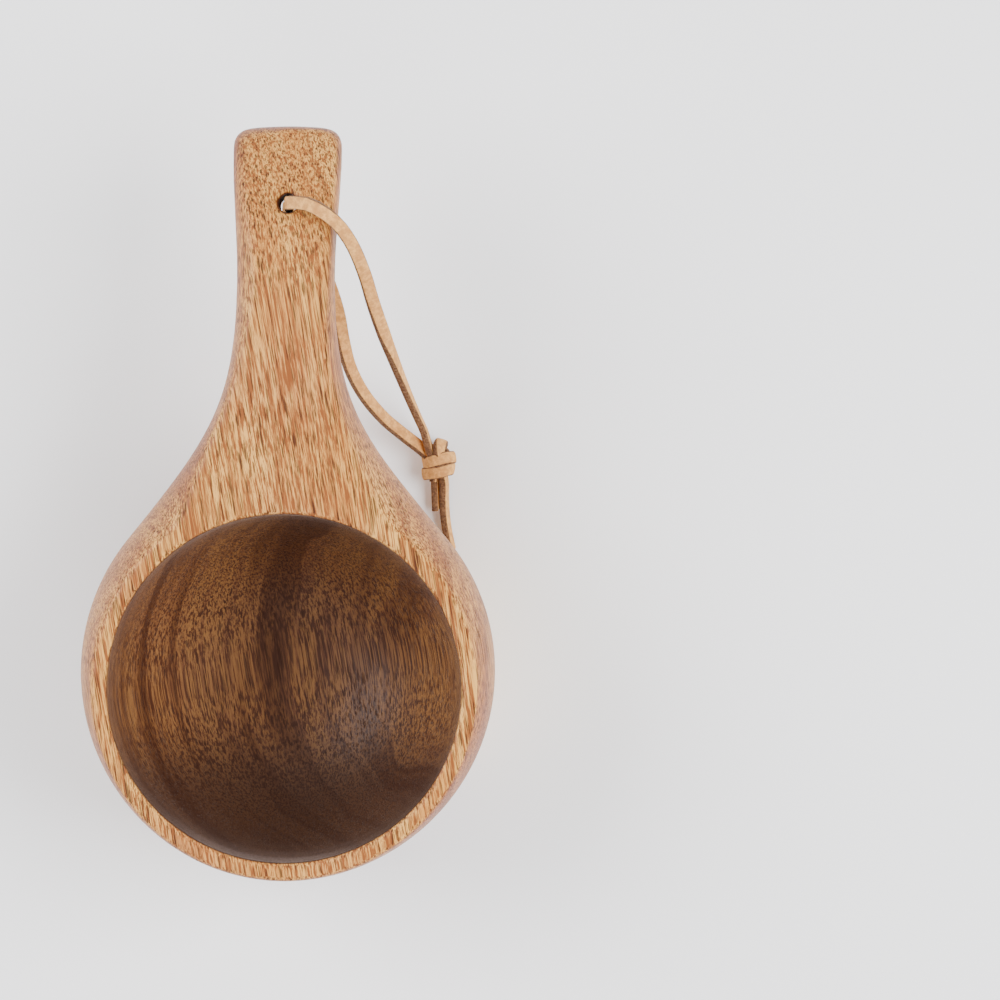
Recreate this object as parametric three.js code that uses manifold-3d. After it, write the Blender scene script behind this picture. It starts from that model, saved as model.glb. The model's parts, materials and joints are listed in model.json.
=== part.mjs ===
// A kuksa: a drinking cup carved from one block of wood. Its handle grows out of the rim, and a suede lace
// is threaded through the handle's end and closed with an overhand knot.
// Millimetres, +Z up. The cup stands on z = 0, the origin is the centre of its flat base, and the handle
// points along +Y. The lace lies on the +X side.
import * as THREE from "three";
import { mergeVertices } from "three/addons/utils/BufferGeometryUtils.js";
import Module from "manifold-3d";

// Bowl
const BASE_RADIUS = 39.5; // the flat that the cup stands on
const BELLY_RADIUS = 48.2; // the widest outline, seen from above
const BELLY_CENTRE_Y = 3.3; // the belly bulges towards the handle
const RIM_RADIUS = 43.7; // outer edge of the rim's flat top
const MOUTH_RADIUS = 40.4;
const MOUTH_STRETCH_Y = 0.985; // the mouth is a touch shorter along the handle than across it
const FLOOR_Z = 9; // top of the bowl's floor
const WALL_BEND_Z = 50; // the bowl's wall is straight above this height
const FLOOR_FLATNESS = 2.4; // 2 is an ellipse, and more is a flatter floor with a tighter bend

// Handle
const NECK = new THREE.Vector2(11.2, 94); // half width of the narrowest place, and where it is
const TIP = new THREE.Vector2(12.5, 124.3); // half width of the end, where its corner begins
const HANDLE_END_Y = 128.9;
const TIP_LEAN_X = 0.7; // the handle's end stands this far off the centre line

// Heights along the handle's centre line, as [y, z]
const TOP_LINE = [[-45, 53.6], [0, 54.4], [40, 56.8], [70, 61], [92, 62.9], [108, 60.9], [120, 56.6],
  [129, 52.4]];
const EDGE_LINE = [[-45, 31], [10, 32], [40, 37], [60, 44.5], [80, 52], [95, 54.6], [112, 53.6], [129, 47.4]];
const UNDER_LINE = [[20, 70], [34, 44], [44, 31], [54, 30.5], [64, 36.2], [75, 41.6], [88, 44.9], [101, 46],
  [114, 45], [129, 41.8]]; // ahead of y = 54 it runs inside the bowl
const UNDER_FILLET = 14; // height over which the bowl's back turns into the handle's underside

// Where a section is cut: as shares from the outline to the fillet, and from the fillet to the base
const HANDLE_STEPS = [0.08, 0.2, 0.35, 0.55, 0.8];
const BOWL_STEPS = [0, 0.04, 0.1, 0.2, 0.35, 0.55, 0.78];

// How much of the half width the flat top takes, as [y of the outline, share], on each side of the handle
const RIGHT_FLAT = [[24, 0.55], [42, 0.71], [60, 0.79], [80, 0.8], [92, 0.88], [122, 0.9]];
const LEFT_FLAT = [[24, 0.55], [42, 0.74], [58, 0.86], [75, 0.8], [92, 0.64], [108, 0.74], [122, 0.8]];
const UNDER_FLAT = 0.62; // the same share on the handle's underside
const TOP_RIDGE_ANGLE = THREE.MathUtils.degToRad(33); // how sharply the sides leave the flat top
const BASE_RIDGE_ANGLE = THREE.MathUtils.degToRad(20); // and the base

// Lace
const HOLE = new THREE.Vector2(1.2, 110.4);
const HOLE_RADIUS = 2.3;
const LACE_RADIUS = 1.3; // a round cord with nearly the section of a flat lace of 3.1 by 1.8
const LACE_SIDES = 8;
const TAIL_RADIUS = 1.15;
const KNOT_CENTRE = new THREE.Vector3(34.6, 52.7, 4.3);
const KNOT_HALF_SIZE = new THREE.Vector3(3.9, 5, 3.6); // across, along and up
const KNOT_TURN = THREE.MathUtils.degToRad(18);

// The upper half of the lace rises out of the hole, passes over the handle's edge and falls to the table.
const UPPER_ROUTE = [[1.1, 110.4, 53.6], [1.15, 110.4, 57], [1.5, 110.4, 61], [3.1, 110.2, 64.6],
  [5.9, 109.8, 66.4], [9.2, 108.2, 66.4], [12.8, 105.2, 64.4], [15.9, 100.7, 59.6], [18.3, 94.8, 51.6],
  [20, 88.6, 42.4], [22, 82.4, 32.8], [24.5, 75.6, 22.8], [27.1, 68.9, 14.6], [29.4, 63.4, 9.4],
  [31.3, 59.1, 6.3]];

// The lower half leaves the hole's underside, crosses below the neck and falls to the same knot.
const LOWER_ROUTE = [[1.1, 110.4, 52.9], [1, 110.4, 49.5], [0.85, 110.4, 46.5], [0.35, 110.4, 43.8],
  [-0.3, 110.3, 41.5], [0.3, 109.6, 39.4], [2.4, 107.2, 38], [5, 103, 37], [7.7, 97.6, 36],
  [9.9, 92.2, 34.5], [11.6, 86.3, 31.5], [12.5, 80.6, 27.8], [14, 74.2, 22.4], [17, 68.2, 16.6],
  [21.3, 62.9, 11], [25.6, 59.2, 7.6], [29.4, 56.3, 5.8]];

const TAIL_ROUTES = {
  lace_tail_outer: [[35.9, 47.3, 3.4], [35.9, 43.4, 2.5], [36.1, 39.6, 2.1], [36.6, 35.8, 1.9],
    [37.3, 32.4, 1.8], [37.7, 30.8, 1.8]],
  lace_tail_inner: [[33.1, 47.7, 3.2], [33.2, 44.4, 2.5], [33.4, 41.4, 2.2]],
};

const wood = new THREE.MeshStandardMaterial({ color: 0xb98556, roughness: 0.5, metalness: 0 });
const suede = new THREE.MeshStandardMaterial({ color: 0xd3aa78, roughness: 0.95, metalness: 0 });

const wasm = await Module();
wasm.setup();

function solidFrom(geometry) {
  const bare = geometry.clone();
  bare.deleteAttribute("normal");
  bare.deleteAttribute("uv");
  const merged = mergeVertices(bare, 1e-4);
  const vertProperties = merged.attributes.position.array;
  const triVerts = new Uint32Array(merged.index.array);
  return new wasm.Manifold(new wasm.Mesh({ numProp: 3, vertProperties, triVerts }));
}

function geometryFrom(solid) {
  const mesh = solid.getMesh();
  const geometry = new THREE.BufferGeometry();
  geometry.setAttribute("position", new THREE.BufferAttribute(mesh.vertProperties, 3));
  geometry.setIndex(new THREE.BufferAttribute(mesh.triVerts, 1));
  geometry.computeVertexNormals();
  return geometry;
}

// A smooth curve through [position, value] pairs, as a function of the position.
function through(stations) {
  const positions = stations.map(([position]) => position);
  const values = stations.map(([, value]) => value);
  const curve = new THREE.CubicInterpolant(positions, values, 1);
  return (position) => curve.evaluate(position)[0];
}

const topZ = through(TOP_LINE);
const edgeZ = through(EDGE_LINE);
const handleUnderZ = through(UNDER_LINE);
const flatShare = { right: through(RIGHT_FLAT), left: through(LEFT_FLAT) };

// The right half of the outline seen from above, from the lip at the front to the handle's end.
function outlineHalf() {
  const shoulderAngle = THREE.MathUtils.degToRad(39.3);
  const belly = new THREE.EllipseCurve(
    0, BELLY_CENTRE_Y, BELLY_RADIUS, BELLY_RADIUS, -Math.PI / 2, shoulderAngle,
  );
  const shoulder = belly.getPoint(1);
  const reach = 30; // how far the belly's and the neck's directions carry into the curve between them
  const leaving = new THREE.Vector2(-Math.sin(shoulderAngle), Math.cos(shoulderAngle)).multiplyScalar(reach);
  const neckSide = new THREE.CubicBezierCurve(
    shoulder, shoulder.clone().add(leaving), new THREE.Vector2(NECK.x, NECK.y - reach), NECK);
  const handleSide = new THREE.CubicBezierCurve(
    NECK, new THREE.Vector2(NECK.x, NECK.y + 10), new THREE.Vector2(TIP.x, TIP.y - 12), TIP);
  const cornerEnd = new THREE.Vector2(TIP.x - 4, HANDLE_END_Y - 0.4);
  const cornerPeak = new THREE.Vector2(TIP.x - 0.1, HANDLE_END_Y - 0.9);
  const corner = new THREE.QuadraticBezierCurve(TIP, cornerPeak, cornerEnd);
  const end = new THREE.QuadraticBezierCurve(
    cornerEnd, new THREE.Vector2(cornerEnd.x / 2, HANDLE_END_Y), new THREE.Vector2(0, HANDLE_END_Y));
  const stretches = [[belly, 40], [neckSide, 24], [handleSide, 8], [corner, 5], [end, 3]];
  return stretches.flatMap(([curve, steps], i) => curve.getPoints(steps).slice(i === 0 ? 0 : 1));
}

// Where on the centre line the section through an outline point starts: at the bowl's centre round the bowl,
// square across along the handle, and at one place near its end.
function spineY(outlineY) {
  const fanEnd = 5;
  const squareStart = 80;
  const squareEnd = 106;
  const spineEnd = 118;
  if (outlineY <= fanEnd) return 0;
  if (outlineY <= squareStart) {
    const t = (outlineY - fanEnd) / (squareStart - fanEnd);
    return squareStart * t * t * (2 - t);
  }
  if (outlineY <= squareEnd) return outlineY;
  const t = (outlineY - squareEnd) / (HANDLE_END_Y - squareEnd);
  return squareEnd + (spineEnd - squareEnd) * t * (2 - t);
}

// The share of the way from the spine to the outline at which a line crosses a circle about the origin.
function crossing(spine, outline, radius) {
  if (spine.y >= radius) return 0;
  const step = outline.clone().sub(spine);
  const b = spine.dot(step);
  const c = spine.lengthSq() - radius * radius;
  return (Math.sqrt(b * b - step.lengthSq() * c) - b) / step.lengthSq();
}

// The larger of two numbers, with a smooth passage from one to the other.
function softMax(a, b) {
  const softness = 0.008;
  return (a + b + Math.sqrt((a - b) ** 2 + softness)) / 2;
}

// The height of the bowl's outside below its belly, over a point in plan. It is 0 on the base.
function bowlSideZ(point) {
  const distance = Math.max(point.length(), 1);
  const sideways = (BELLY_CENTRE_Y * point.x) / distance;
  const reach = (BELLY_CENTRE_Y * point.y) / distance + Math.sqrt(BELLY_RADIUS ** 2 - sideways ** 2);
  const out = (distance - BASE_RADIUS) / (reach - BASE_RADIUS);
  if (out <= 0) return 0;
  const sine = Math.sin(BASE_RIDGE_ANGLE) + Math.min(out, 1) * (1 - Math.sin(BASE_RIDGE_ANGLE));
  const up = 1 - Math.sqrt(1 - Math.min(sine, 1) ** 2) / Math.cos(BASE_RIDGE_ANGLE);
  const climbOutside = 150; // beyond the belly the side goes on climbing, and the handle takes over
  return edgeZ(point.y) * up + climbOutside * Math.max(0, out - 1);
}

// The height of the whole underside over a point in plan, before its edge turns up to the outline. The bowl's
// back turns into the handle's underside through a fillet.
function undersideZ(point) {
  const bowl = bowlSideZ(point);
  const handle = handleUnderZ(point.y);
  const overlap = Math.max(0, 1 - Math.abs(bowl - handle) / UNDER_FILLET);
  return Math.min(bowl, handle) - (overlap * overlap * UNDER_FILLET) / 4;
}

// The share of the way out at which a section passes from the bowl's back to the handle's underside.
function filletShare(at, start) {
  let inside = start;
  let outside = 1;
  for (let i = 0; i < 30; i++) {
    const middle = (inside + outside) / 2;
    if (bowlSideZ(at(middle)) < handleUnderZ(at(middle).y)) inside = middle;
    else outside = middle;
  }
  return inside;
}

// Points on a bulging side, as [share of the way out, share of the way to the outline's height]. It leaves
// the flat at the ridge's angle and stands upright at the outline.
function bulge(ridgeAngle, steps) {
  const points = [];
  for (let i = 1; i <= steps; i++) {
    const angle = ridgeAngle + ((Math.PI / 2 - ridgeAngle) * i) / steps;
    const out = (Math.sin(angle) - Math.sin(ridgeAngle)) / (1 - Math.sin(ridgeAngle));
    const up = 1 - Math.cos(angle) / Math.cos(ridgeAngle);
    points.push([out, up]);
  }
  return points;
}

// One section of the carved block, from the spine over the top, round the outline and back underneath.
function section(outline, side) {
  const spine = new THREE.Vector2(0, spineY(outline.y));
  const at = (share) => spine.clone().lerp(outline, share);
  const place = (share, z) => {
    const p = at(share);
    const lean = TIP_LEAN_X * THREE.MathUtils.smoothstep(p.y, 45, 120);
    return new THREE.Vector3((side === "left" ? -p.x : p.x) + lean, p.y, z);
  };
  const rimShare = softMax(crossing(spine, outline, RIM_RADIUS), flatShare[side](outline.y));
  const keel = THREE.MathUtils.smoothstep(spine.y, 45, 85);
  const baseShare = Math.max(crossing(spine, outline, BASE_RADIUS), UNDER_FLAT * keel);
  const outlineZ = edgeZ(outline.y);
  const points = [0, 0.4, 0.75, 1].map((share) => place(rimShare * share, topZ(at(rimShare * share).y)));
  const ridgeZ = topZ(at(rimShare).y);
  for (const [out, down] of bulge(TOP_RIDGE_ANGLE, 7)) {
    points.push(place(rimShare + (1 - rimShare) * out, ridgeZ + (outlineZ - ridgeZ) * down));
  }
  const lift = outlineZ - undersideZ(outline);
  const fillet = filletShare(at, baseShare);
  const liftStart = baseShare + (fillet - baseShare) * THREE.MathUtils.smoothstep(1 - fillet, 0, 0.12);
  const toFillet = HANDLE_STEPS.map((t) => 1 - (1 - fillet) * t);
  const toBase = BOWL_STEPS.map((t) => fillet + (baseShare - fillet) * t);
  for (const share of [...toFillet, ...toBase]) {
    const out = Math.max(0, (share - liftStart) / (1 - liftStart));
    points.push(place(share, undersideZ(at(share)) + lift * (1 - Math.sqrt(1 - out * out))));
  }
  for (const share of [1, 0.7, 0.35, 0]) {
    points.push(place(baseShare * share, undersideZ(at(baseShare * share))));
  }
  return points;
}

// The carved block without its bowl and hole: all sections joined into one closed skin.
function carvedBlock() {
  const half = outlineHalf();
  const right = half.map((outline) => section(outline, "right"));
  const left = half.slice(1, -1).reverse().map((outline) => section(outline, "left"));
  const sections = [...right, ...left];
  const corners = [];
  const addTriangle = (a, b, c) => {
    if (a.equals(b) || b.equals(c) || c.equals(a)) return;
    corners.push(...a.toArray(), ...b.toArray(), ...c.toArray());
  };
  sections.forEach((here, i) => {
    const next = sections[(i + 1) % sections.length];
    for (let k = 0; k + 1 < here.length; k++) {
      addTriangle(here[k], here[k + 1], next[k + 1]);
      addTriangle(here[k], next[k + 1], next[k]);
    }
  });
  const skin = new THREE.BufferGeometry();
  skin.setAttribute("position", new THREE.Float32BufferAttribute(corners, 3));
  return solidFrom(skin);
}

// The space inside the bowl, open far above the rim.
function bowlSpace() {
  const clearZ = 75;
  const rings = 12;
  const profile = [];
  for (let i = 0; i <= rings; i++) {
    const angle = ((Math.PI / 2) * i) / rings;
    const radius = MOUTH_RADIUS * Math.sin(angle) ** (2 / FLOOR_FLATNESS);
    const depth = (WALL_BEND_Z - FLOOR_Z) * Math.cos(angle) ** (2 / FLOOR_FLATNESS);
    profile.push(new THREE.Vector2(i === 0 ? 0 : radius, WALL_BEND_Z - (i === rings ? 0 : depth)));
  }
  profile.push(new THREE.Vector2(MOUTH_RADIUS, clearZ), new THREE.Vector2(0, clearZ));
  const space = new THREE.LatheGeometry(profile, 88);
  space.rotateX(Math.PI / 2); // the lathe's axis is Y, and the bowl's is Z
  space.scale(1, MOUTH_STRETCH_Y, 1);
  return solidFrom(space);
}

function laceHole() {
  const tool = new THREE.CylinderGeometry(HOLE_RADIUS, HOLE_RADIUS, 50, 24);
  tool.rotateX(Math.PI / 2);
  tool.translate(HOLE.x, HOLE.y, 50);
  return solidFrom(tool);
}

function cupBody() {
  const cup = carvedBlock().subtract(bowlSpace()).subtract(laceHole());
  return new THREE.Mesh(geometryFrom(cup), wood);
}

// A plain cord along hand-set points, with flat ends.
function cord(route, radius, steps) {
  const points = route.map((point) => new THREE.Vector3(...point));
  const line = new THREE.CatmullRomCurve3(points, false, "centripetal");
  const ring = new THREE.Shape();
  for (let i = 0; i < LACE_SIDES; i++) {
    const angle = (2 * Math.PI * i) / LACE_SIDES;
    const corner = [radius * Math.cos(angle), radius * Math.sin(angle)];
    if (i === 0) ring.moveTo(...corner);
    else ring.lineTo(...corner);
  }
  ring.closePath();
  return new THREE.Mesh(new THREE.ExtrudeGeometry(ring, { extrudePath: line, steps }), suede);
}

function knot() {
  const ball = new THREE.SphereGeometry(1, 16, 10);
  ball.scale(KNOT_HALF_SIZE.x, KNOT_HALF_SIZE.y, KNOT_HALF_SIZE.z);
  const mesh = new THREE.Mesh(ball, suede);
  mesh.rotation.z = KNOT_TURN;
  mesh.position.copy(KNOT_CENTRE);
  return mesh;
}

function named(name, mesh) {
  mesh.name = name;
  return mesh;
}

const lace = new THREE.Group();
lace.add(named("lace_upper_run", cord(UPPER_ROUTE, LACE_RADIUS, 24)));
lace.add(named("lace_lower_run", cord(LOWER_ROUTE, LACE_RADIUS, 22)));
lace.add(named("lace_knot", knot()));
for (const [name, route] of Object.entries(TAIL_ROUTES)) {
  lace.add(named(name, cord(route, TAIL_RADIUS, 4)));
}

const kuksa = new THREE.Group();
kuksa.add(named("cup_body", cupBody()), lace);

export default kuksa;
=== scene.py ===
"""A kuksa: a drinking cup carved from one block of wood, with a suede lace knotted through its handle."""

import json
import math

import bpy
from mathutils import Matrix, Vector

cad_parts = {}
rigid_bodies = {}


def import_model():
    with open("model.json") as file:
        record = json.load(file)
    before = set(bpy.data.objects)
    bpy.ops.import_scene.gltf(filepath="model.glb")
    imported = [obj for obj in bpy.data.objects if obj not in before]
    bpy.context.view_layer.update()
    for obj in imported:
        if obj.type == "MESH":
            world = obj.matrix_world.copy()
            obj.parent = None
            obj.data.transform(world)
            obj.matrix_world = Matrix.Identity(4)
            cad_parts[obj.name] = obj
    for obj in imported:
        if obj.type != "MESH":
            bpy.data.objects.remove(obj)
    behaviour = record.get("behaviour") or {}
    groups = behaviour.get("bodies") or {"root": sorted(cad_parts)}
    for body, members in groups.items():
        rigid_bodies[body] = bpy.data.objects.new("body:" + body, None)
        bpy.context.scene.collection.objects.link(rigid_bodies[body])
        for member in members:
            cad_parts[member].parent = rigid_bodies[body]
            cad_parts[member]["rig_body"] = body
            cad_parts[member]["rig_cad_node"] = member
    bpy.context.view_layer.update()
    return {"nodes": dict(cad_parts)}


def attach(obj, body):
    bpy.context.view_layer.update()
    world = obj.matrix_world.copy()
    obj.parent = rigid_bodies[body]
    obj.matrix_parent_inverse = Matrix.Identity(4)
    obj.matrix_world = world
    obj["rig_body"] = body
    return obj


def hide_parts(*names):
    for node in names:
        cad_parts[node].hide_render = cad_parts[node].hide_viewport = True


MM = 1000  # millimetres in a metre
WELD = 0.00001  # corners nearer than this, in metres, become one

# Cup, in metres
BODY_VOXEL = 0.00077
MOUTH_RADIUS = 0.0404
MOUTH_STRETCH_Y = 0.985
MOUTH_KEEP = 0.00374  # how near the mouth's edge the surface is sanded only lightly
MOUTH_KEEP_ABOVE = 0.049
HOLE = Vector((0.0012, 0.1104))
HOLE_RADIUS = 0.0023
HOLE_KEEP = 0.0022
SANDING_PASSES = 9
LIGHT_SANDING_PASSES = 2

# Lace, in metres
LACE_WIDTH = 0.0031
LACE_THICKNESS = 0.0018
LACE_CORNERS = 0.38  # how rounded the section is: lower is squarer, and 1 is an ellipse
KNOT_CORNERS = 0.62
LACE_CREASE = math.radians(50)
ROUTE_STEPS = 44
OUTER_TAIL_STEPS = 20
INNER_TAIL_STEPS = 10
SECTION_STEPS = 16  # four on each of the lace's two faces and two cut edges

UPPER_ROUTE = [
    (0.0011, 0.1104, 0.0536), (0.00115, 0.1104, 0.057), (0.0015, 0.1104, 0.061),
    (0.0031, 0.1102, 0.0646), (0.0059, 0.1098, 0.0664), (0.0092, 0.1082, 0.0664),
    (0.0128, 0.1052, 0.0644), (0.0159, 0.1007, 0.0596), (0.0183, 0.0948, 0.0516),
    (0.0200, 0.0886, 0.0424), (0.0220, 0.0824, 0.0328), (0.0245, 0.0756, 0.0228),
    (0.0271, 0.0689, 0.0146), (0.0294, 0.0634, 0.0094), (0.0313, 0.0591, 0.0063),
]
LOWER_ROUTE = [
    (0.0011, 0.1104, 0.0529), (0.0010, 0.1104, 0.0495), (0.00085, 0.1104, 0.0465),
    (0.00035, 0.1104, 0.0438), (-0.0003, 0.1103, 0.0415), (0.0003, 0.1096, 0.0394),
    (0.0024, 0.1072, 0.0380), (0.0050, 0.1030, 0.0370), (0.0077, 0.0976, 0.0360),
    (0.0099, 0.0922, 0.0345), (0.0116, 0.0863, 0.0315), (0.0125, 0.0806, 0.0278),
    (0.0140, 0.0742, 0.0224), (0.0170, 0.0682, 0.0166), (0.0213, 0.0629, 0.0110),
    (0.0256, 0.0592, 0.0076), (0.0294, 0.0563, 0.0058),
]

# How the two halves go on into the knot
UPPER_IN_KNOT = [(0.0322, 0.0556, 0.0060), (0.0334, 0.0528, 0.0050)]
LOWER_IN_KNOT = [(0.0318, 0.0544, 0.0046), (0.0340, 0.0528, 0.0038)]

OUTER_TAIL_ROUTE = [
    (0.0352, 0.0505, 0.0040), (0.0359, 0.0473, 0.0034), (0.0359, 0.0434, 0.0025),
    (0.0361, 0.0396, 0.0021), (0.0366, 0.0358, 0.0019), (0.0373, 0.0324, 0.0018),
    (0.0377, 0.0308, 0.0018),
]
INNER_TAIL_ROUTE = [
    (0.0343, 0.0505, 0.0034), (0.0339, 0.0477, 0.0026), (0.0340, 0.0444, 0.0020),
    (0.0341, 0.0414, 0.0018),
]

# The overhand knot, as (middle of the two laces, way their faces look, step from the middle to the
# outer lace). Each is X, Y and Z. The middles are in millimetres from KNOT_CENTRE, the steps in millimetres.
KNOT_CENTRE = Vector((0.0346, 0.0527, 0.0043))
KNOT_ROUTE = [
    # inside the knot
    ((-0.6, 0.6, -0.6), (0.3, 0.3, -1.0), (0.6, 1.2, 0.0)),
    ((1.5, -0.9, -1.7), (0.6, -0.2, -1.0), (0.5, 1.3, 0.0)),
    # the loop that bulges to one side
    ((2.9, -0.8, -0.7), (1.0, 0.0, -0.3), (0.1, 1.36, 0.0)),
    ((3.1, -0.7, 0.8), (1.0, 0.0, 0.5), (0.15, 1.3, 0.0)),
    # the band over the top
    ((2.0, -0.9, 2.2), (0.6, 0.0, 1.0), (-0.2, 1.36, 0.1)),
    ((-0.1, -1.5, 2.8), (0.0, -0.1, 1.0), (-0.3, 1.36, 0.1)),
    ((-2.0, -1.9, 2.1), (-0.6, -0.1, 1.0), (0.0, 1.28, 0.2)),
    ((-2.9, -2.1, 0.5), (-1.0, 0.0, 0.2), (0.3, 1.2, 0.1)),
    # round behind
    ((-2.6, -1.5, -1.3), (-1.0, 0.0, -0.8), (-0.5, 1.35, 0.0)),
    ((-1.1, -0.2, -2.6), (-0.3, 0.0, -1.0), (-1.0, 1.0, 0.0)),
    ((0.5, 1.2, -2.8), (0.1, 0.2, -1.0), (-0.9, 1.0, 0.0)),
    ((0.9, 2.6, -2.2), (0.2, 0.6, -1.0), (-0.3, 1.0, -0.4)),
    # the bight at the top, and down under the band
    ((0.5, 3.4, -0.7), (0.3, 1.0, -0.1), (0.2, 0.8, -0.1)),
    ((0.0, 3.2, 0.8), (0.5, 0.9, 0.5), (0.35, 0.6, 0.4)),
    ((-0.5, 2.3, 1.7), (0.7, 0.45, 0.68), (0.6, 0.25, 0.55)),
    ((-0.4, 1.0, 1.7), (0.73, 0.0, 0.68), (0.65, 0.0, 0.6)),
    ((-0.2, -0.8, 0.8), (0.9, 0.0, 0.45), (0.85, 0.0, 0.3)),
    ((-0.1, -2.8, -0.3), (1.0, 0.0, 0.4), (0.9, 0.0, 0.1)),
    ((0.0, -4.9, -0.9), (1.0, 0.1, 0.35), (1.1, 0.1, 0.0)),
]
KNOT_STEPS = 96
KNOT_ARCH = 0.13  # how strongly the two laces' faces lean apart, per millimetre from their middle

# Which way the lace's face looks, at shares of each strand's length
UPPER_FACES = [
    (0.0, (-1, 0, 0)), (0.12, (-0.9, 0, 0.5)), (0.22, (-0.1, 0.2, 1)), (0.6, (0.1, 0.3, 1)),
    (0.8, (0.7, 0.5, 0.6)), (0.9, (1, 0.5, 0.25)), (1.0, (1, 0.4, 0.2)),
]
LOWER_FACES = [
    (0.0, (-1, 0, 0)), (0.15, (-0.8, 0, -0.5)), (0.35, (0.3, 0.2, 1)), (1.0, (0.5, 0.4, 0.9)),
]
TAIL_FACES = [(0.0, (1, 0.1, 0.35)), (1.0, (1, 0.2, 0.35))]
TAIL_END_CUT = 0.6  # how far a tail's cut end leans along the lace, as a share of its width
SLANT_ONSET = 6  # the higher, the nearer to the cut end the slant begins


# Small tools


def deselect_all():
    bpy.ops.object.select_all(action="DESELECT")


def pick(piece):
    deselect_all()
    piece.select_set(True)
    bpy.context.view_layer.objects.active = piece


def apply_modifier(piece, kind, **settings):
    pick(piece)
    modifier = piece.modifiers.new(kind.lower(), kind)
    for name, value in settings.items():
        setattr(modifier, name, value)
    bpy.ops.object.modifier_apply(modifier=modifier.name)


def finish_piece(piece, name, material, slot, body, *stands_for):
    piece.name = name
    piece.data.name = name
    piece.data.materials.clear()
    piece.data.materials.append(material)
    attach(piece, body)
    if stands_for:
        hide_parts(*stands_for)


class Shader:
    """Builds one material's nodes, from left to right."""

    def __init__(self, name):
        self.material = bpy.data.materials.new(name)
        self.material.use_nodes = True
        self.nodes = self.material.node_tree.nodes
        self.links = self.material.node_tree.links
        self.surface = self.nodes["Principled BSDF"]

    def feed(self, value, socket):
        if isinstance(value, bpy.types.NodeSocket):
            self.links.new(value, socket)
        else:
            socket.default_value = value

    def add(self, kind, inputs=None, **settings):
        node = self.nodes.new(kind)
        for name, value in settings.items():
            setattr(node, name, value)
        for name, value in (inputs or {}).items():
            self.feed(value, node.inputs[name])
        return node

    def math(self, operation, *values, clamp=False):
        node = self.add("ShaderNodeMath", operation=operation, use_clamp=clamp)
        for socket, value in zip(node.inputs, values):
            self.feed(value, socket)
        return node.outputs[0]

    def place(self, vector, turn=(0, 0, 0), scale=(1, 1, 1), move=(0, 0, 0)):
        inputs = {"Vector": vector, "Rotation": turn, "Scale": scale, "Location": move}
        return self.add("ShaderNodeMapping", inputs).outputs[0]

    def noise(self, vector, scale, detail, roughness):
        inputs = {"Vector": vector, "Scale": scale, "Detail": detail, "Roughness": roughness}
        return self.add("ShaderNodeTexNoise", inputs).outputs["Fac"]

    def cells(self, vector):
        """How far a place is from the middle of its cell, with about one cell to a unit."""
        inputs = {"Vector": vector, "Scale": 1.0, "Randomness": 1.0}
        return self.add("ShaderNodeTexVoronoi", inputs, feature="F1").outputs["Distance"]

    def between(self, value, low, high, low_to=0.0, high_to=1.0):
        """Goes smoothly from low_to to high_to as the value goes from low to high, and no further."""
        inputs = {"Value": value, "From Min": low, "From Max": high, "To Min": low_to, "To Max": high_to}
        return self.add("ShaderNodeMapRange", inputs, interpolation_type="SMOOTHSTEP").outputs[0]

    def mix(self, share, first, second, how="MIX"):
        node = self.add("ShaderNodeMix", data_type="RGBA", blend_type=how)
        self.feed(share, node.inputs[0])
        self.feed(first, node.inputs[6])
        self.feed(second, node.inputs[7])
        return node.outputs[2]

    def split(self, vector):
        return self.add("ShaderNodeSeparateXYZ", {"Vector": vector}).outputs

    def join(self, x, y, z):
        return self.add("ShaderNodeCombineXYZ", {"X": x, "Y": y, "Z": z}).outputs[0]

    def distance(self, across, along):
        """How far a place is from the middle, from its two steps away from it."""
        squares = [self.math("MULTIPLY", step, step) for step in (across, along)]
        return self.math("SQRT", self.math("ADD", *squares))

    def bump(self, height, depth, under=None):
        inputs = {"Height": height, "Distance": depth, "Strength": 1.0}
        if under is not None:
            inputs["Normal"] = under
        return self.add("ShaderNodeBump", inputs).outputs[0]


def rgb(red, green, blue):
    """A colour given as it looks on a screen, from 0 to 255, for a shader."""
    def linear(value):
        share = value / 255
        return share / 12.92 if share <= 0.04045 else ((share + 0.055) / 1.055) ** 2.4
    return (linear(red), linear(green), linear(blue), 1.0)


# Materials


TAN = rgb(186, 126, 60)
GOLD = rgb(214, 160, 84)
RUSSET = rgb(124, 68, 32)
UMBER = rgb(78, 38, 22)
PORE = rgb(44, 20, 12)
SAPWOOD = rgb(232, 186, 108)
ROSE = rgb(178, 116, 78)
# The next three colours darken the bowl's inside: partly oil-soaked wood, partly painted shade of the
# hollow, deepest towards the front.
OILED_AND_SHADED = rgb(100, 75, 62)
OIL_AND_SHADE_TINT = rgb(176, 162, 154)  # a tint multiplies what it lies on
DEEP_OIL_AND_SHADE_TINT = rgb(86, 74, 76)
# This tint reddens and darkens the steep outside flanks: partly the wood's redder tone, partly painted shade
# on the sides.
FLANK_TONE_AND_SHADE_TINT = rgb(206, 168, 152)

GRAIN_TURN = math.radians(-9)  # the grain runs this far off the handle's line
GRAIN_LIFT = math.radians(-4)  # and climbs this much towards the handle's end
PITH_X = -60.0  # where the tree's middle lay, in millimetres across and up from the cup's base
PITH_Z = 70.0
SAPWOOD_RADIUS = 116.5  # from the tree's middle, in millimetres
PORE_DEPTH = 0.00007  # in metres
THREAD_DEPTH = 0.00003


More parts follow.
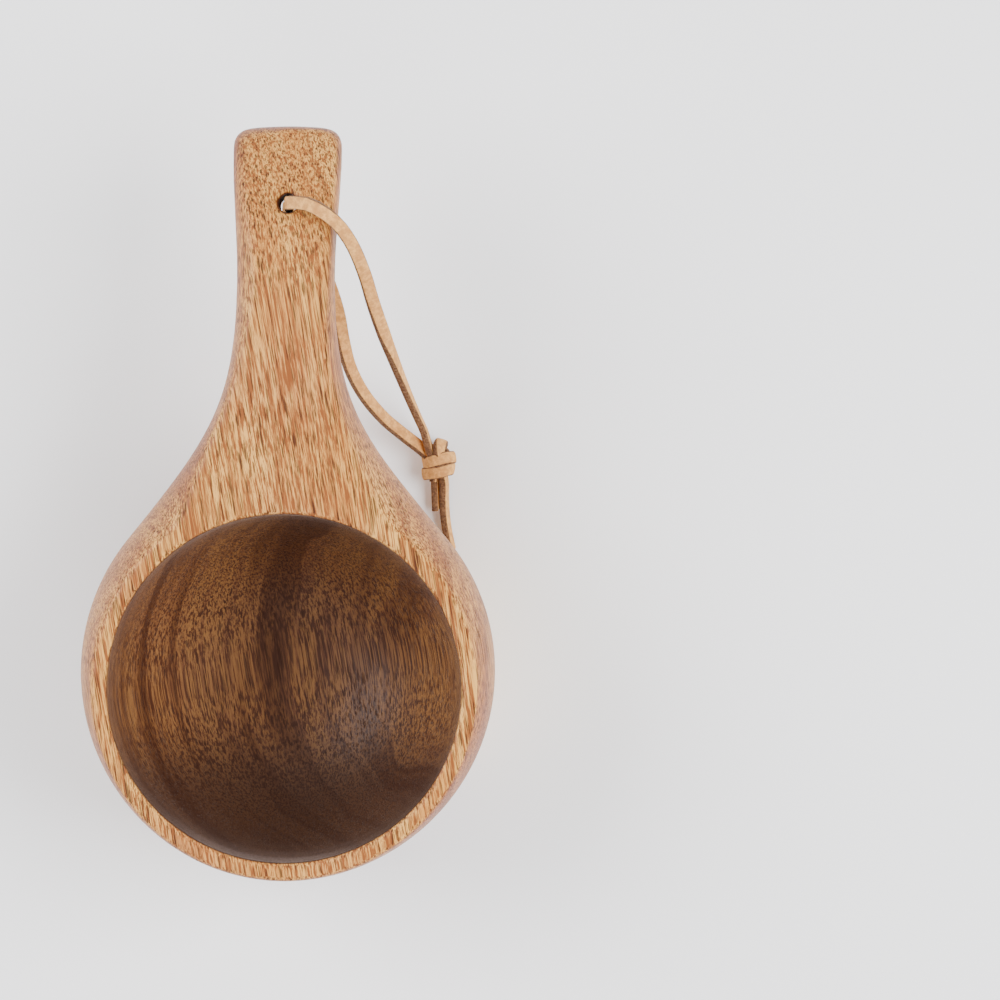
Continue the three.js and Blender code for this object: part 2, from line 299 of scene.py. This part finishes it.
class Timber(Shader):
    """Solid streaked heartwood: every pattern goes through the block, so each cut shows it at its own
    angle. It is worked in millimetres."""

    def __init__(self, name):
        super().__init__(name)
        position = self.add("ShaderNodeTexCoord").outputs["Object"]
        self.block = self.place(position, scale=(MM, MM, MM))
        self.grain = self.place(self.block, turn=(GRAIN_LIFT, 0, GRAIN_TURN))
        self.sway = self.along_grain(0.02, 0.008)
        self.radius = self.from_pith()
        self.bands = self.in_rings(0.13, 0.006, detail=3.0, roughness=0.6)
        self.threads = self.along_grain(2.3, 0.036, detail=4.0, roughness=0.65)
        self.sapwood = self.between(self.radius, SAPWOOD_RADIUS - 1.2, SAPWOOD_RADIUS + 0.4)

    def along_grain(self, across, along, detail=2.0, roughness=0.5, move=(0, 0, 0)):
        """Noise drawn out along the grain, as patches to a millimetre across it and along it."""
        place = self.place(self.grain, scale=(across, along, across), move=move)
        return self.noise(place, 1.0, detail=detail, roughness=roughness)

    def in_rings(self, outward, along, upward=0.0, detail=2.0, roughness=0.5):
        """Noise that follows the growth rings, as patches to a millimetre out from the tree's middle,
        along the grain and up."""
        y, z = self.split(self.grain)[1:3]
        place = self.join(self.math("MULTIPLY", self.radius, outward), self.math("MULTIPLY", y, along),
                          self.math("MULTIPLY", z, upward))
        return self.noise(place, 1.0, detail=detail, roughness=roughness)

    def from_pith(self):
        """How far a place is from the tree's middle, with rings that sway and ripple."""
        ripple = self.along_grain(0.12, 0.02)
        x, y, z = self.split(self.grain)
        shift = self.math("ADD", self.between(self.sway, 0.3, 0.7, -5.0, 5.0),
                          self.between(ripple, 0.3, 0.7, -0.5, 0.5))
        across = self.math("SUBTRACT", self.math("ADD", x, shift), PITH_X)
        return self.distance(across, self.math("SUBTRACT", z, PITH_Z))

    def heartwood(self):
        """Growth bands, and the streaks that run along them for some centimetres."""
        streaks = self.in_rings(0.55, 0.014, 0.08, detail=4.0, roughness=0.65)
        fibres = self.along_grain(4.6, 0.16, detail=3.0, roughness=0.7)
        rose_patch = self.along_grain(0.035, 0.02, detail=1.0, move=(3.1, 1.7, 0.4))
        colour = self.mix(self.between(self.bands, 0.38, 0.6), TAN, GOLD)
        colour = self.mix(self.between(rose_patch, 0.48, 0.68, 0.0, 0.4), colour, ROSE)
        colour = self.mix(self.between(streaks, 0.47, 0.64, 0.0, 0.7), colour, RUSSET)
        colour = self.mix(self.between(self.bands, 0.38, 0.26, 0.0, 0.6), colour, UMBER)
        colour = self.mix(self.between(self.threads, 0.49, 0.57, 0.0, 0.95), colour, RUSSET)
        colour = self.mix(self.between(self.threads, 0.47, 0.38, 0.0, 0.6), colour, GOLD)
        return self.mix(self.between(fibres, 0.5, 0.6, 0.0, 0.7), colour, RUSSET)

    def with_sapwood(self, colour):
        """Pale sapwood, where the block reaches the outside of the tree."""
        pale = self.mix(self.between(self.threads, 0.45, 0.65, 0.0, 0.35), SAPWOOD, TAN)
        pale = self.mix(self.between(self.bands, 0.4, 0.6, 0.0, 0.3), pale, GOLD)
        return self.mix(self.sapwood, colour, pale)

    def open_pores(self):
        """Thin tubes along the grain, so they are dashes on a side cut and dots on an end cut."""
        crowding = self.in_rings(0.5, 0.03)
        pore_reach = self.between(crowding, 0.35, 0.65, 0.14, 0.3)
        tubes = self.cells(self.place(self.grain, scale=(1.05, 0.07, 1.05)))
        pores = self.math("DIVIDE", self.math("SUBTRACT", pore_reach, tubes), 0.09, clamp=True)
        fine_tubes = self.cells(self.place(self.grain, scale=(2.1, 0.08, 2.1), move=(0.3, 0.6, 0.2)))
        fine_pores = self.math("MULTIPLY", self.between(fine_tubes, 0.38, 0.26), 0.85)
        faint_in_sapwood = self.between(self.sapwood, 0.0, 1.0, 0.8, 0.3)
        return self.math("MULTIPLY", self.math("MAXIMUM", pores, fine_pores), faint_in_sapwood)

    def inside_bowl(self):
        """1 on the inside of the bowl and 0 everywhere else."""
        x, y, z = self.split(self.block)
        from_axis = self.distance(x, self.math("DIVIDE", y, MOUTH_STRETCH_Y))
        mouth = MOUTH_RADIUS * MM
        within = self.between(from_axis, mouth + 0.35, mouth + 0.05)
        return self.math("MULTIPLY", within, self.between(z, 4.0, 7.0))

    def with_oiled_and_shaded_bowl(self, colour, inside):
        """The inside of the bowl is darker, most of all towards the front: partly wood that has soaked up
        more oil, partly painted shade of the hollow.
        """
        # painted shade, growing towards the bowl's front wall
        at_front = self.between(self.split(self.block)[1], -6.0, -26.0)
        oil_and_shade = self.mix(at_front, OIL_AND_SHADE_TINT, DEEP_OIL_AND_SHADE_TINT)
        soaked_and_shaded = self.mix(0.38, self.mix(1.0, colour, oil_and_shade, how="MULTIPLY"), OILED_AND_SHADED)
        soaked_and_shaded = self.mix(self.between(self.threads, 0.49, 0.56, 0.0, 0.55), soaked_and_shaded, PORE)
        soaked_and_shaded = self.mix(self.between(self.bands, 0.52, 0.38, 0.0, 0.55), soaked_and_shaded, PORE)
        return self.mix(inside, colour, soaked_and_shaded)

    def with_red_shaded_flanks(self, colour, inside):
        """The steep outside flanks are redder and darker in patches: partly the wood's own tone where it is
        cut across the growth bands, partly painted shade on the sides.
        """
        normal = self.add("ShaderNodeNewGeometry").outputs["Normal"]
        levelness = self.math("ABSOLUTE", self.split(normal)[2])
        # the steeper the surface, the more tint: painted shade on the sides, with the wood's redder tone
        shaded_flank = self.between(levelness, 0.8, 0.3, 0.0, 0.9)
        shaded_flank = self.math("MULTIPLY", shaded_flank, self.math("SUBTRACT", 1.0, inside))
        shaded_flank = self.math("MULTIPLY", shaded_flank, self.math("SUBTRACT", 1.0, self.sapwood))
        shaded_flank = self.math("MULTIPLY", shaded_flank, self.between(self.sway, 0.38, 0.58, 0.25, 1.0))
        return self.mix(shaded_flank, colour, self.mix(1.0, colour, FLANK_TONE_AND_SHADE_TINT, how="MULTIPLY"))

    def with_painted_hole_shade(self, colour):
        """The drilled hole's wall is painted dark: painted shade inside the hole."""
        x, y, z = self.split(self.block)
        across = self.math("SUBTRACT", x, HOLE.x * MM)
        along = self.math("SUBTRACT", y, HOLE.y * MM)
        edge = HOLE_RADIUS * MM
        hole_shade = self.between(self.distance(across, along), edge + 0.35, edge + 0.05)
        # UMBER here is painted shade inside the hole
        return self.mix(self.math("MULTIPLY", hole_shade, 0.8), colour, UMBER)


def wood_material():
    """The cup's oiled wood, from the bare timber to the finish of each part of it."""
    wood = Timber("oiled_wood")
    pores = wood.open_pores()
    inside = wood.inside_bowl()
    colour = wood.with_sapwood(wood.heartwood())
    colour = wood.mix(pores, colour, PORE)
    # Painted shade goes on next: in the bowl with its oil, on the steep flanks with their redder tone, and
    # inside the hole.
    colour = wood.with_oiled_and_shaded_bowl(colour, inside)
    colour = wood.with_red_shaded_flanks(colour, inside)
    colour = wood.with_painted_hole_shade(colour)

    surface = wood.surface.inputs
    wood.feed(colour, surface["Base Color"])
    wood.feed(wood.between(pores, 0.0, 1.0, 0.47, 0.75), surface["Roughness"])
    surface["Specular IOR Level"].default_value = 0.26
    surface["Sheen Weight"].default_value = 0.16
    surface["Sheen Roughness"].default_value = 0.3
    surface["Sheen Tint"].default_value = rgb(255, 232, 222)
    grooves = wood.bump(wood.math("MULTIPLY", pores, -1.0), PORE_DEPTH)
    wood.feed(wood.bump(wood.threads, THREAD_DEPTH, under=grooves), surface["Normal"])
    return wood.material


CUT_EDGE = rgb(134, 98, 70)
CUT_EDGE_SHADE = rgb(88, 60, 44)
SUEDE = rgb(222, 166, 98)
SUEDE_SHADE = rgb(186, 130, 76)
NAP_DEPTH = 0.0002  # in metres


def suede_material():
    """Napped suede faces and darker cut edges. Across its own UV map the piece has 0 to 1 round the
    lace: a face, a cut edge, the other face and the other cut edge."""
    suede = Shader("suede")
    uv = suede.add("ShaderNodeUVMap").outputs[0]
    round_lace = suede.split(uv)[0]
    edge = suede.between(suede.math("FRACT", suede.math("MULTIPLY", round_lace, 2.0)), 0.49, 0.51)
    position = suede.add("ShaderNodeTexCoord").outputs["Object"]
    nap = suede.noise(position, 1700.0, detail=5.0, roughness=0.8)
    blotches = suede.noise(position, 700.0, detail=4.0, roughness=0.6)
    face_colour = suede.mix(suede.between(blotches, 0.35, 0.65), SUEDE, SUEDE_SHADE)
    edge_colour = suede.mix(suede.between(nap, 0.4, 0.6), CUT_EDGE, CUT_EDGE_SHADE)
    colour = suede.mix(edge, face_colour, edge_colour)
    shade = suede.mix(edge, SUEDE_SHADE, CUT_EDGE_SHADE)
    colour = suede.mix(suede.between(nap, 0.48, 0.62, 0.0, 0.7), colour, shade)
    surface = suede.surface.inputs
    suede.feed(colour, surface["Base Color"])
    surface["Roughness"].default_value = 0.95
    surface["Specular IOR Level"].default_value = 0.15
    surface["Sheen Weight"].default_value = 0.15
    surface["Sheen Roughness"].default_value = 0.5
    surface["Sheen Tint"].default_value = rgb(245, 215, 175)
    suede.feed(suede.bump(nap, NAP_DEPTH), surface["Normal"])
    return suede.material


def floor_material():
    floor = Shader("pale_floor")
    floor.surface.inputs["Base Color"].default_value = rgb(244, 244, 246)
    floor.surface.inputs["Roughness"].default_value = 0.9
    floor.surface.inputs["Specular IOR Level"].default_value = 0.1
    return floor.material


# Cup


def near_an_edge(place):
    """True near the mouth's edge and the hole, where the surface turns sharply."""
    mouth = abs(math.hypot(place.x, place.y / MOUTH_STRETCH_Y) - MOUTH_RADIUS)
    on_rim = mouth < MOUTH_KEEP and place.z > MOUTH_KEEP_ABOVE
    hole = abs((place.xy - HOLE).length - HOLE_RADIUS)
    return on_rim or hole < HOLE_KEEP


def carved_cup(frame, wood):
    """The cup's skin, with the facets of its CAD body worn away to a sanded surface."""
    cup = frame["nodes"]["cup_body"].copy()
    cup.data = cup.data.copy()
    bpy.context.scene.collection.objects.link(cup)
    pick(cup)
    bpy.ops.object.mode_set(mode="EDIT")
    bpy.ops.mesh.select_all(action="SELECT")
    bpy.ops.mesh.remove_doubles(threshold=WELD)
    bpy.ops.object.mode_set(mode="OBJECT")
    apply_modifier(cup, "REMESH", mode="VOXEL", voxel_size=BODY_VOXEL, use_smooth_shade=True)
    faces = cup.vertex_groups.new(name="open_faces")
    faces.add([v.index for v in cup.data.vertices if not near_an_edge(v.co)], 1.0, "REPLACE")
    apply_modifier(cup, "SMOOTH", factor=0.5, iterations=SANDING_PASSES, vertex_group="open_faces")
    apply_modifier(cup, "SMOOTH", factor=0.5, iterations=LIGHT_SANDING_PASSES)
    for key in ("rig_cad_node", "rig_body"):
        if key in cup:
            del cup[key]
    pick(cup)
    bpy.ops.object.shade_smooth()
    finish_piece(cup, "carved_cup", wood, "wood", "cup", "cup_body")
    return cup


# Lace


def between_keys(points, share):
    """A point on the smooth curve through given points: share 0 is the first and 1 the last."""
    place = share * (len(points) - 1)
    i = min(int(place), len(points) - 2)
    t = place - i
    start, end = Vector(points[i]), Vector(points[i + 1])
    before = Vector(points[i - 1]) if i > 0 else 2 * start - end
    after = Vector(points[i + 2]) if i + 2 < len(points) else 2 * end - start
    leave = (end - before) / 2
    arrive = (after - start) / 2
    return (start * (2 * t**3 - 3 * t**2 + 1) + leave * (t**3 - 2 * t**2 + t)
            + end * (3 * t**2 - 2 * t**3) + arrive * (t**3 - t**2))


def line_length(line):
    return sum((b - a).length for a, b in zip(line, line[1:]))


def evenly_spaced(line, steps):
    """The line again, cut into that many equal steps."""
    step = line_length(line) / steps
    spaced = [line[0]]
    gone = 0.0
    for a, b in zip(line, line[1:]):
        piece = (b - a).length
        while len(spaced) < steps and gone + piece >= step * len(spaced):
            spaced.append(a.lerp(b, (step * len(spaced) - gone) / piece))
        gone += piece
    spaced.append(line[-1])
    return spaced


def smooth_route(points, steps):
    """Evenly spaced points along the smooth curve through given points."""
    fine_steps = 400
    fine_line = [between_keys(points, i / fine_steps) for i in range(fine_steps + 1)]
    return evenly_spaced(fine_line, steps)


def face_at(faces, share):
    """Which way the lace's face looks at a share of its length."""
    for (low, first), (high, second) in zip(faces, faces[1:]):
        if share <= high:
            return Vector(first).lerp(Vector(second), (share - low) / (high - low))
    return Vector(faces[-1][1])


def flattened(value, corners):
    """A sine or cosine drawn out to a rounded rectangle."""
    return math.copysign(abs(value) ** corners, value)


def lace_strand(name, line, faces, suede, slant=0.0, corners=LACE_CORNERS):
    """A flat lace along a line: a grid rolled into a rounded flat section, with both ends closed. The
    far end can be cut at a slant."""
    steps = len(line) - 1
    length_cm = line_length(line) * 100
    deselect_all()
    bpy.ops.mesh.primitive_grid_add(x_subdivisions=SECTION_STEPS, y_subdivisions=steps, size=1)
    strand = bpy.context.object
    for vertex in strand.data.vertices:
        share = vertex.co.y + 0.5
        i = round(share * steps)
        ahead = (line[min(i + 1, steps)] - line[max(i - 1, 0)]).normalized()
        across = ahead.cross(face_at(faces, share)).normalized()
        face = across.cross(ahead)
        angle = math.pi * (0.75 - 2 * (vertex.co.x + 0.5))  # once round, from a corner
        sideways = flattened(math.cos(angle), corners) * LACE_WIDTH / 2
        outward = flattened(math.sin(angle), corners) * LACE_THICKNESS / 2
        vertex.co = line[i] + across * sideways + face * outward
        vertex.co += ahead * sideways * slant * share**SLANT_ONSET
    for corner in strand.data.uv_layers[0].data:
        corner.uv.y *= length_cm
    bpy.ops.object.mode_set(mode="EDIT")
    bpy.ops.mesh.select_all(action="SELECT")
    bpy.ops.mesh.remove_doubles(threshold=WELD)
    bpy.ops.mesh.fill_holes(sides=0)
    bpy.ops.mesh.select_all(action="SELECT")
    bpy.ops.mesh.normals_make_consistent(inside=False)
    bpy.ops.object.mode_set(mode="OBJECT")
    bpy.ops.object.shade_smooth_by_angle(angle=LACE_CREASE)
    finish_piece(strand, name, suede, "suede", "lace")
    return strand


def knot_strands(suede):
    """Both laces run side by side, and then one on the other, through one overhand knot."""
    middles, looks, steps = zip(*KNOT_ROUTE)
    shares = [i / KNOT_STEPS for i in range(KNOT_STEPS + 1)]
    strands = []
    for name, side in (("knot_outer", 1), ("knot_inner", -1)):
        line = []
        faces = []
        for share in shares:
            step = between_keys(steps, share) * side
            line.append(KNOT_CENTRE + (between_keys(middles, share) + step) / MM)
            faces.append((share, between_keys(looks, share) + step * KNOT_ARCH))
        strands.append(lace_strand(name, line, faces, suede, corners=KNOT_CORNERS))
    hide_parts("lace_knot")
    return strands


def tail(name, route, steps, suede, stands_for):
    """A short end of the lace, cut off at a slant."""
    strand = lace_strand(name, smooth_route(route, steps), TAIL_FACES, suede, slant=TAIL_END_CUT)
    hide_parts(stands_for)
    return strand


def lace(suede):
    """The whole lace: both halves, the knot that ties them and the tails that leave it."""
    outer_knot, inner_knot = knot_strands(suede)
    outer_tail = tail("tail_outer", OUTER_TAIL_ROUTE, OUTER_TAIL_STEPS, suede, "lace_tail_outer")
    inner_tail = tail("tail_inner", INNER_TAIL_ROUTE, INNER_TAIL_STEPS, suede, "lace_tail_inner")
    upper_line = smooth_route(UPPER_ROUTE + UPPER_IN_KNOT, ROUTE_STEPS)
    upper = lace_strand("lace_upper", upper_line, UPPER_FACES, suede)
    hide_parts("lace_upper_run")
    lower_line = smooth_route(LOWER_ROUTE + LOWER_IN_KNOT, ROUTE_STEPS)
    lower = lace_strand("lace_lower", lower_line, LOWER_FACES, suede)
    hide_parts("lace_lower_run")


# Studio

CAMERA_PLACE = Vector((0.0493, 0.0431, 1.033))  # it looks straight down
CAMERA_LENS = 154.5  # in millimetres
CAMERA_SENSOR = 36  # in millimetres
FLOOR_SIZE = 6
LIT_PLACE = (0, 0.03, 0.03)  # what the lights point at
LEVEL_STRENGTH = 1.3  # of the room, from the level down
CEILING_STRENGTH = 0.3


def studio():
    """A pale floor, soft light and the camera."""
    deselect_all()
    bpy.ops.mesh.primitive_plane_add(size=FLOOR_SIZE, location=(0, 0, 0))
    floor = bpy.context.object
    floor.name = "floor"
    floor.data.materials.append(floor_material())

    soft_room()
    soft_light("key_light", place=(-0.75, 0.24, 0.7), size=0.7, power=16.0)
    fill = soft_light("fill_light", place=(0.8, 0.0, 0.8), size=0.8, power=24.0)
    front = soft_light("front_light", place=(-0.1, -0.8, 0.8), size=0.8, power=5.0)
    fill.visible_glossy = False  # only the key light shows as a highlight
    front.visible_glossy = False

    camera_data = bpy.data.cameras.new("camera")
    camera_data.sensor_width = CAMERA_SENSOR
    camera_data.lens = CAMERA_LENS
    camera = bpy.data.objects.new("camera", camera_data)
    bpy.context.scene.collection.objects.link(camera)
    camera.location = CAMERA_PLACE
    bpy.context.scene.camera = camera


def soft_room():
    """Pale walls all round, and a dimmer ceiling."""
    room = bpy.data.worlds.new("soft_room")
    room.use_nodes = True
    nodes = room.node_tree.nodes
    links = room.node_tree.links
    direction = nodes.new("ShaderNodeTexCoord").outputs["Generated"]
    height = nodes.new("ShaderNodeSeparateXYZ")
    links.new(direction, height.inputs[0])
    strength = nodes.new("ShaderNodeMapRange")
    strength.inputs["To Min"].default_value = LEVEL_STRENGTH
    strength.inputs["To Max"].default_value = CEILING_STRENGTH
    links.new(height.outputs["Z"], strength.inputs["Value"])
    nodes["Background"].inputs["Color"].default_value = (1, 1, 1, 1)
    links.new(strength.outputs[0], nodes["Background"].inputs["Strength"])
    bpy.context.scene.world = room


def soft_light(name, place, size, power):
    bpy.ops.object.light_add(type="AREA", location=place)
    light = bpy.context.object
    light.name = name
    light.data.shape = "SQUARE"
    light.data.size = size
    light.data.energy = power
    light.rotation_euler = (Vector(LIT_PLACE) - Vector(place)).to_track_quat("-Z", "Y").to_euler()
    return light


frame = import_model()
studio()
lace(suede_material())
carved_cup(frame, wood_material())
